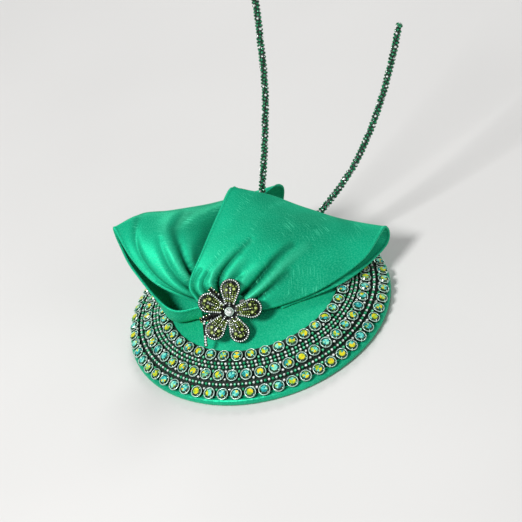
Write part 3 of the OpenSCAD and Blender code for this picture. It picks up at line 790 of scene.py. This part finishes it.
def quill_tip(name, route, node):
    """A domed cap of stones on the end of the cord."""
    line = curve(route, np.linspace(0, 1, 400))
    ahead, side, up = frames_along(line)
    place = np.eye(4)
    place[:3, 0], place[:3, 1], place[:3, 2] = side[-1], up[-1], ahead[-1]
    place[:3, 3] = line[-1] + 0.3 * ahead[-1]
    r = QUILL_D / 2 - 0.9
    a = np.linspace(0, math.pi / 2, 7)
    profile = [(0.001, 0), (r, 0), (r, 0.8)] + [
        (max(r * math.cos(t), 0.001), 0.8 + r * math.sin(t)) for t in a[1:]]
    cap = Heap()
    cap.add(turned(profile, 16), grid_faces(16, len(profile), wrap_rows=True), place=place,
            smooth=True)
    points, faces, kind = QUILL_STONE
    for tilt, count in ((88, 5), (48, 5), (0, 1)):
        for q in range(count):
            turn = rot("Z", 2 * math.pi * (q + (tilt == 48) / 2) / count) @ rot(
                "Y", math.radians(tilt))
            clear = (2 * q + (tilt == 48)) % 5 == 0
            cap.add(points, faces, place=place @ move(0, 0, 1.0) @ turn @ move(0, 0, r + 0.1),
                    mark=2 if clear else 1,
                    paint=stone_paint(kind, 0.7 if clear else 0.42, 0.2, 0.15))
    piece(name, cap, [quill_wrap, emerald_stone, clear_stone], [node])


quill("quill_left_cord", LEFT_QUILL, ["quill_left_banding"])
quill("quill_right_cord", RIGHT_QUILL, ["quill_right_banding"])
quill_tip("quill_left_end", LEFT_QUILL, "quill_left_tip")
quill_tip("quill_right_end", RIGHT_QUILL, "quill_right_tip")

# ---- brooch ----
def petal_half(x, inset):
    """Half width of a petal at a distance x from the middle of the flower."""
    root, tip = PETAL_ROOT_R - min(inset, 1), PETAL_TIP_R - inset
    slope = math.asin((tip - root) / (PETAL_TIP - PETAL_ROOT))
    x1, x2 = PETAL_ROOT - root * math.sin(slope), PETAL_TIP - tip * math.sin(slope)
    y1, y2 = root * math.cos(slope), tip * math.cos(slope)
    x = np.asarray(x, float)
    low = np.sqrt(np.clip(root**2 - (x - PETAL_ROOT) ** 2, 0, None))
    high = np.sqrt(np.clip(tip**2 - (x - PETAL_TIP) ** 2, 0, None))
    return np.where(x < x1, low, np.where(x > x2, high, y1 + (y2 - y1) * (x - x1) / (x2 - x1)))


def petal_z(x, t):
    """Height of the petal's face; t runs from -1 to 1 across it."""
    return (2.0 + 1.0 * (1 - t**2) * np.clip(1 - ((x - 14.5) / 10.5) ** 2, 0, 1)
            - 0.35 * np.exp(-((t / 0.1) ** 2)))


PETAL_IN = 1.6
RIM_IN = 0.95
def even_points(line, count):
    """Points at even distances along a line, ends included, and the line's length."""
    run = np.r_[0, np.cumsum(np.linalg.norm(np.diff(line, axis=0), axis=1))]
    places = np.linspace(0, run[-1], count)
    return np.stack([np.interp(places, run, line[:, c]) for c in range(3)], -1), run[-1]


# Length of a petal's rim from root to tip, and the distance between its stones
RIM_LENGTH, BEAD_STEP = 17.25, 1.5
petals, rims, petal_stones = Heap(), Heap(), Heap()
BEAD = chaton(1.5, 0.55, 0.62, 0.5, 6)
GREEN = chaton(1.55, 0.55, 0.62, 0.4, 6)
PERIDOT = chaton(2.7, 0.58, 1.0, 0.6, 8)
for petal, angle in enumerate(PETAL_A):
    turn = IN_BROOCH @ rot("Z", math.radians(angle)) @ move(0, 0, 0.05 * petal)
    ends = PETAL_ROOT - PETAL_ROOT_R + 1.2, PETAL_TIP + PETAL_TIP_R - PETAL_IN - 0.02
    x = ends[0] + (ends[1] - ends[0]) * (0.5 - 0.5 * np.cos(np.linspace(0, math.pi, 40)))
    t = np.linspace(-1, 1, 31)
    y = np.maximum(petal_half(x, PETAL_IN), 0.05)[:, None] * t
    face = np.stack([x[:, None] + 0 * y, y, petal_z(x[:, None], t[None])], -1)
    back = face.copy()
    back[..., 2] = CASTING_T + 0.05
    petals.add(*slab(face, back), place=turn, smooth=True)
    # Rim: a raised wall with a line of clear stones, from root to tip and back
    share = 0.5 + 0.5 * np.cos(np.linspace(0, math.pi, 400))
    xs = PETAL_TIP + PETAL_TIP_R - RIM_IN - RIM_LENGTH * share
    half = petal_half(xs, RIM_IN)
    wall = np.concatenate([np.c_[xs, half, 0 * xs + 2.05], np.c_[xs, -half, 0 * xs + 2.05][::-1]])
    path, length = even_points(wall, 90)
    rims.add(*tube(path, 0.78, 8), place=turn, smooth=True, mark=1)
    for bead in even_points(wall, int(length / BEAD_STEP))[0]:
        points, faces, kind = BEAD
        rims.add(points, faces,
                 place=turn @ move(*(bead + (0, 0, 0.62))) @ rot("Z", rng.uniform(0, 6)),
                 paint=stone_paint(kind, rng.choice([0.95, 0.7, 0.5]), 0.15, 0.2))
    # Green stones in rows that close up towards the root, round three larger ones
    big = [(19.3, -0.1), (15.6, 0.52), (16.4, -0.56)]
    big_at = np.array([(bx, bt * float(petal_half(bx, 2.2))) for bx, bt in big])
    for (bx, by), (_, bt) in zip(big_at, big):
        points, faces, kind = PERIDOT
        petal_stones.add(points, faces,
                         place=turn @ move(bx, by, petal_z(bx, bt) + 0.2) @ rot("Z", rng.uniform(0, 6)),
                         paint=stone_paint(kind, 0.9, 0.15, 0.45))
    for line in (-0.84, -0.42, 0.0, 0.42, 0.84):
        for sx in np.arange(6.4 if line else 4.6, 22.6, 1.5):
            sy = line * float(petal_half(sx, 1.9))
            wide = float(petal_half(sx, 2.6))
            if abs(sy) > wide or np.min(np.hypot(*(big_at - (sx, sy)).T)) < 1.95:
                continue
            if abs(line) == 0.42 and wide < 3.2:
                continue
            points, faces, kind = GREEN
            petal_stones.add(points, faces,
                             place=turn @ move(sx, sy, petal_z(sx, line) + 0.1)
                             @ rot("Z", rng.uniform(0, 6)),
                             mark=int(rng.random() < (0.12 if line else 0.5)),
                             paint=stone_paint(kind, rng.choice([0.75, 0.6, 0.4]), 0.18, 0.25))
for lx, ly, angle in LEAVES:
    leaf = IN_BROOCH @ move(lx, ly, CASTING_T + 0.05) @ rot("Z", math.radians(angle))
    petals.add(*tube([(-9, 0, 0.2), (-2, 0, 0.5), (4.6, 0, 0.2)], np.array([0.45, 0.5, 0.3]), 6),
               place=leaf, smooth=True)
    for side in (-1, 1):
        for k in range(4):
            start = -4.6 + 2.3 * k
            tip = (start + 1.9, side * (2.2 - 0.28 * k), 0.15)
            petals.add(*tube([(start, 0, 0.35), (start + 1.1, side * 1.1, 0.45), tip],
                             np.array([0.34, 0.38, 0.3]), 6), place=leaf, smooth=True)
            points, faces, kind = GREEN
            petal_stones.add(points, faces, place=leaf @ move(*tip) @ move(0, 0, 0.25),
                             mark=int(k % 2 == 0), paint=stone_paint(kind, 0.6, 0.2, 0.2))
piece("brooch_petal_faces", petals, [gunmetal], ["brooch_petals"])
piece("brooch_rim_stones", rims, [clear_stone, gunmetal], ["brooch_petal_rims"])
piece("brooch_green_stones", petal_stones, [peridot_stone, clear_stone],
      ["brooch_petal_stones"])

centre = Heap()
points, faces, kind = chaton(6.0, 0.5, 2.2, 1.4, 10)
centre.add(points, faces, place=IN_BROOCH @ move(0, 0, CASTING_T + 1.75),
           paint=stone_paint(kind, 0.6, 0.25, 0.45))
centre.add(turned([(2.7, 0.1), (2.9, 1.7), (3.15, 1.95), (3.3, 1.6), (3.3, 0.1)], 24),
           grid_faces(24, 5, True, True), place=IN_BROOCH @ move(0, 0, CASTING_T), mark=1, smooth=True)
piece("brooch_centre_crystal", centre, [clear_stone, silver],
      ["brooch_centre_stone"])

twig = Heap()
for share in TWIG_STONES:
    at = np.array(TWIG[0]) * (1 - share) + np.array(TWIG[1]) * share
    points, faces, kind = chaton(1.9, 0.55, 0.8, 0.7, 6)
    twig.add(points, faces, place=IN_BROOCH @ move(*at, CASTING_T + 0.75),
             paint=stone_paint(kind, 0.8, 0.2, 0.4))
piece("brooch_twig_crystals", twig, [clear_stone], ["brooch_twig_stones"])

# The tab that the pin passes behind: a tube of bow cloth pressed flat, its edges turned in
TAB_X, TAB_Y, TAB_Z = (-3.0, 5.0), (-20.5, 11.6), -2.8
v, u = np.linspace(0, 1, 60)[:, None], np.linspace(-1, 1, 24)[None]
middle = np.stack([
    (TAB_X[0] + TAB_X[1]) / 2 + u * (TAB_X[1] - TAB_X[0]) / 2 * (0.96 + 0.03 * np.sin(9 * v)),
    TAB_Y[0] + (TAB_Y[1] - TAB_Y[0]) * v + 0 * u,
    TAB_Z + 0.12 * np.sin(5 * u + 6 * v) * (1 - u**2) + 0 * v], -1)
half = 0.42 * np.sqrt(np.clip(1 - np.abs(u) ** 6, 0.02, 1)) + 0 * v
lift = np.stack([0 * half, 0 * half, half], -1)
tab = Heap()
points, faces = slab(middle + lift, middle - lift)
# Its paint is left at nought, so the bow satin gives it deep painted shade all over
tab.add(points, faces, place=IN_BROOCH, smooth=True, cloth=points)
tab_obj = piece("pin_tab_cloth", tab, [bow_satin], ["brooch_tab"])

# The felt pad under the quills
PAD_FOOT_R, PAD_A, PAD_R, PAD_T = 16.5, 33.0, 9.0, 1.8
pad = Heap()
rim_a = np.linspace(-math.pi / 2, math.pi / 2, 9)
profile = ([(r, 0.02) for r in (0.0, 4.0, 8.0)] + [(PAD_R - 0.9 + 0.88 * math.cos(a), 0.9 + 0.88 *
           math.sin(a)) for a in rim_a] + [(r, PAD_T - 0.02) for r in (8.0, 4.0, 0.0)])
points = turned(profile, 72)
points[:, 2] += 0.03 * np.sin(3.1 * points[:, 0]) * np.sin(2.7 * points[:, 1]) * (points[:, 2] > 1)
pad_at = on_dome(PAD_FOOT_R, PAD_A, 0.05)
pad.add(points, grid_faces(72, len(profile), wrap_rows=True), place=pad_at, smooth=True)
pad_obj = piece("quill_pad", pad, [felt], ["quill_anchor"], weld=0.01)

# ---- CAD nodes that keep their shape ----
FINISHES = {
    "base_shell": buckram, "edge_wire": wire_steel, "band_mesh": band_net,
    "quill_left_wire": wire_steel, "quill_right_wire": wire_steel,
    "brooch_casting": gunmetal, "pin_hinge_bracket": pin_steel,
    "pin_hinge_rivet": pin_steel, "pin_stem": pin_steel, "catch_housing": pin_steel,
    "catch_rotor": pin_steel, "hair_comb": comb_metal, "comb_stitches": thread,
}
for node, material in FINISHES.items():
    for material_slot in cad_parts[node].material_slots:
        material_slot.material = material

# ---- floor, light and camera ----
bpy.ops.mesh.primitive_circle_add(vertices=96, radius=6, fill_type="NGON")
floor = bpy.context.object
floor.name = "floor"
floor_paper = Finish("floor_paper", roughness=0.8)
floor.data.materials.append(floor_paper.feed(Base_Color=floor_paper.ramp(
    floor_paper.noise("object", (3, 3, 3)), [(0.3, srgb(214, 213, 211)), (0.7, srgb(220, 219, 217))])))


def softbox(name, place, aim, size, power):
    lamp = bpy.data.lights.new(name, "AREA")
    lamp.shape = "DISK"
    lamp.size = size
    lamp.energy = power
    obj = bpy.data.objects.new(name, lamp)
    obj.location = place
    obj.rotation_euler = (Vector(aim) - Vector(place)).to_track_quat("-Z", "Y").to_euler()
    bpy.context.scene.collection.objects.link(obj)


AIM = (0.0, 0.0, 0.05)
softbox("key", (-1.0, -0.8, 1.5), AIM, 0.5, 35)
softbox("fill", (1.4, -1.3, 1.0), AIM, 1.2, 7)
softbox("back", (0.5, 1.4, 1.3), AIM, 0.8, 14)
world = bpy.data.worlds.new("studio")
world.use_nodes = True
world.node_tree.nodes["Background"].inputs["Color"].default_value = srgb(225, 226, 228)
world.node_tree.nodes["Background"].inputs["Strength"].default_value = 0.27
bpy.context.scene.world = world
bpy.context.scene.view_settings.view_transform = "Standard"

DISTANCE = 1.5
FOCAL_LENGTH, SENSOR_WIDTH = 141, 36
LOOK_DOWN = math.radians(38)
ROLL = math.radians(18)
TARGET = Vector((0.012, 0.0, 0.046))
ahead = Vector((0, math.cos(LOOK_DOWN), -math.sin(LOOK_DOWN)))
level = Vector((1, 0, 0))
above = Vector((0, math.sin(LOOK_DOWN), math.cos(LOOK_DOWN)))
right = math.cos(ROLL) * level - math.sin(ROLL) * above
top = math.sin(ROLL) * level + math.cos(ROLL) * above
lens = bpy.data.cameras.new("camera")
lens.sensor_width = SENSOR_WIDTH
lens.lens = FOCAL_LENGTH
camera = bpy.data.objects.new("camera", lens)
camera.matrix_world = Matrix((
    (right.x, top.x, -ahead.x, 0), (right.y, top.y, -ahead.y, 0), (right.z, top.z, -ahead.z, 0),
    (0, 0, 0, 1)))
camera.location = TARGET - DISTANCE * ahead
bpy.context.scene.collection.objects.link(camera)
bpy.context.scene.camera = camera
